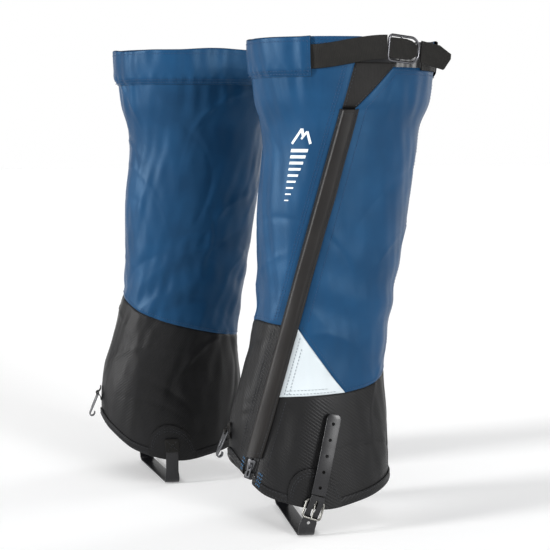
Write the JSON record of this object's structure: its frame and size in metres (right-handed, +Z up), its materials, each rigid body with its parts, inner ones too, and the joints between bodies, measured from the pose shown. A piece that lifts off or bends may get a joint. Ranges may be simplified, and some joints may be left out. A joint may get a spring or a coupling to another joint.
{
  "type": "zipped snow gaiters",
  "caption": "Pair of two-tone snow gaiters with a side zip and storm flap, a buckled webbing closure at the top, an instep strap with a pin buckle and a lace hook.",
  "frame": {"origin": "on the ground, midway between the axes of the wearer's two legs, with the undersides of the instep straps at z 0", "axes": "+Z up the legs, -X towards the toes, -Y towards the wearer's left side"},
  "size_m": [0.3134, 0.358, 0.4661],
  "materials": {
    "upper_cloth": "satin",
    "lower_cloth": "matte",
    "webbing": "matte",
    "stretch_cloth": "matte",
    "flap_cloth": "satin",
    "reflective_film": "satin",
    "zip_plastic": "satin",
    "strap_plastic": "satin",
    "bright_steel": "polished",
    "dark_steel": "satin"
  },
  "bodies": {
    "left_shell": {"left_upper_front_panel": "upper_cloth", "left_upper_rear_panel": "upper_cloth", "left_lower_front_panel": "lower_cloth", "left_lower_rear_panel": "lower_cloth", "left_reflective_triangle": "reflective_film", "left_stretch_gusset": "stretch_cloth", "left_top_casing": "upper_cloth", "left_top_webbing": "webbing", "left_zip_side_front": "zip_plastic", "left_zip_side_rear": "zip_plastic", "left_zip_end_box": "zip_plastic", "left_flap_loop_strip": "flap_cloth", "left_hem_band": "lower_cloth", "left_outer_patch": "lower_cloth", "left_inner_patch": "lower_cloth", "left_inner_anchor": "webbing", "left_buckle_tab": "webbing", "left_instep_strap": "strap_plastic", "left_hook_loop": "webbing"},
    "left_zip_slider_body": {"left_zip_slider": "bright_steel"},
    "left_zip_pull_body": {"left_zip_pull": "bright_steel"},
    "left_storm_flap_body": {"left_storm_flap": "flap_cloth"},
    "left_top_buckle_body": {"left_top_buckle": "dark_steel", "left_buckle_lacing": "webbing"},
    "left_webbing_tail_body": {"left_webbing_tail": "webbing"},
    "left_pin_buckle_body": {"left_pin_buckle": "bright_steel"},
    "left_prong_body": {"left_buckle_prong": "bright_steel"},
    "left_strap_tail_body": {"left_strap_tail": "strap_plastic"},
    "left_lace_hook_body": {"left_lace_hook": "dark_steel"},
    "right_shell": {"right_upper_front_panel": "upper_cloth", "right_upper_rear_panel": "upper_cloth", "right_lower_front_panel": "lower_cloth", "right_lower_rear_panel": "lower_cloth", "right_reflective_triangle": "reflective_film", "right_stretch_gusset": "stretch_cloth", "right_top_casing": "upper_cloth", "right_top_webbing": "webbing", "right_zip_side_front": "zip_plastic", "right_zip_side_rear": "zip_plastic", "right_zip_end_box": "zip_plastic", "right_flap_loop_strip": "flap_cloth", "right_hem_band": "lower_cloth", "right_outer_patch": "lower_cloth", "right_inner_patch": "lower_cloth", "right_inner_anchor": "webbing", "right_buckle_tab": "webbing", "right_instep_strap": "strap_plastic", "right_hook_loop": "webbing"},
    "right_zip_slider_body": {"right_zip_slider": "bright_steel"},
    "right_zip_pull_body": {"right_zip_pull": "bright_steel"},
    "right_storm_flap_body": {"right_storm_flap": "flap_cloth"},
    "right_top_buckle_body": {"right_top_buckle": "dark_steel", "right_buckle_lacing": "webbing"},
    "right_webbing_tail_body": {"right_webbing_tail": "webbing"},
    "right_pin_buckle_body": {"right_pin_buckle": "bright_steel"},
    "right_prong_body": {"right_buckle_prong": "bright_steel"},
    "right_strap_tail_body": {"right_strap_tail": "strap_plastic"},
    "right_lace_hook_body": {"right_lace_hook": "dark_steel"}
  },
  "joints": [
    {"name": "left_zip_slide", "type": "slide", "parent": "left_shell", "child": "left_zip_slider_body", "axis": [0.2459, -0.0858, 0.9655], "range_m": [0, 0.336]},
    {"name": "left_pull_swing", "type": "hinge", "parent": "left_zip_slider_body", "child": "left_zip_pull_body", "pos_m": [-0.03054, -0.14407, 0.06626], "axis": [-0.7387, 0.6283, 0.244], "range_deg": [0, 140]},
    {"name": "left_storm_flap_hinge", "type": "hinge", "parent": "left_shell", "child": "left_storm_flap_body", "pos_m": [-0.03381, -0.1369, 0.07266], "axis": [-0.241, 0.1013, -0.9652], "range_deg": [0, 80]},
    {"name": "left_top_buckle_lift", "type": "hinge", "parent": "left_shell", "child": "left_top_buckle_body", "pos_m": [0.12483, -0.16613, 0.45113], "axis": [0.08, 0.0087, 0.9968], "range_deg": [0, 40]},
    {"name": "left_webbing_tail_bend", "type": "hinge", "parent": "left_shell", "child": "left_webbing_tail_body", "pos_m": [0.12614, -0.16572, 0.45102], "axis": [-0.08, -0.0087, -0.9968], "range_deg": [0, 45]},
    {"name": "left_pin_buckle_lift", "type": "hinge", "parent": "left_shell", "child": "left_pin_buckle_body", "pos_m": [0.02487, -0.17359, 0.03406], "axis": [-0.9395, 0.1064, 0.3256], "range_deg": [0, 50]},
    {"name": "left_prong_lift", "type": "hinge", "parent": "left_pin_buckle_body", "child": "left_prong_body", "pos_m": [0.02487, -0.17359, 0.03406], "axis": [-0.9395, 0.1064, 0.3256], "range_deg": [0, 32]},
    {"name": "left_strap_tail_bend", "type": "hinge", "parent": "left_shell", "child": "left_strap_tail_body", "pos_m": [0.02594, -0.17824, 0.04093], "axis": [0.9682, -0.1097, -0.225], "range_deg": [0, 60]},
    {"name": "left_lace_hook_swing", "type": "hinge", "parent": "left_shell", "child": "left_lace_hook_body", "pos_m": [-0.04652, -0.1121, 0.09224], "axis": [-0.0334, 0.9994, 0], "range_deg": [0, 55]},
    {"name": "right_zip_slide", "type": "slide", "parent": "right_shell", "child": "right_zip_slider_body", "axis": [0.2459, 0.0858, 0.9655], "range_m": [0, 0.336]},
    {"name": "right_pull_swing", "type": "hinge", "parent": "right_zip_slider_body", "child": "right_zip_pull_body", "pos_m": [-0.12354, 0.14407, 0.06626], "axis": [0.7387, 0.6283, -0.244], "range_deg": [0, 140]},
    {"name": "right_storm_flap_hinge", "type": "hinge", "parent": "right_shell", "child": "right_storm_flap_body", "pos_m": [-0.12681, 0.1369, 0.07266], "axis": [0.241, 0.1013, 0.9652], "range_deg": [0, 80]},
    {"name": "right_top_buckle_lift", "type": "hinge", "parent": "right_shell", "child": "right_top_buckle_body", "pos_m": [0.03183, 0.16613, 0.45113], "axis": [-0.08, 0.0087, -0.9968], "range_deg": [0, 40]},
    {"name": "right_webbing_tail_bend", "type": "hinge", "parent": "right_shell", "child": "right_webbing_tail_body", "pos_m": [0.03314, 0.16572, 0.45102], "axis": [0.08, -0.0087, 0.9968], "range_deg": [0, 45]},
    {"name": "right_pin_buckle_lift", "type": "hinge", "parent": "right_shell", "child": "right_pin_buckle_body", "pos_m": [-0.06813, 0.17359, 0.03406], "axis": [0.9395, 0.1064, -0.3256], "range_deg": [0, 50]},
    {"name": "right_prong_lift", "type": "hinge", "parent": "right_pin_buckle_body", "child": "right_prong_body", "pos_m": [-0.06813, 0.17359, 0.03406], "axis": [0.9395, 0.1064, -0.3256], "range_deg": [0, 32]},
    {"name": "right_strap_tail_bend", "type": "hinge", "parent": "right_shell", "child": "right_strap_tail_body", "pos_m": [-0.06706, 0.17824, 0.04093], "axis": [-0.9682, -0.1097, 0.225], "range_deg": [0, 60]},
    {"name": "right_lace_hook_swing", "type": "hinge", "parent": "right_shell", "child": "right_lace_hook_body", "pos_m": [-0.13952, 0.1121, 0.09224], "axis": [0.0334, 0.9994, 0], "range_deg": [0, 55]},
    {"name": "right_gaiter_apart", "type": "slide", "parent": "left_shell", "child": "right_shell", "axis": [0, 1, 0], "range_m": [0, 0.25]}
  ]
}
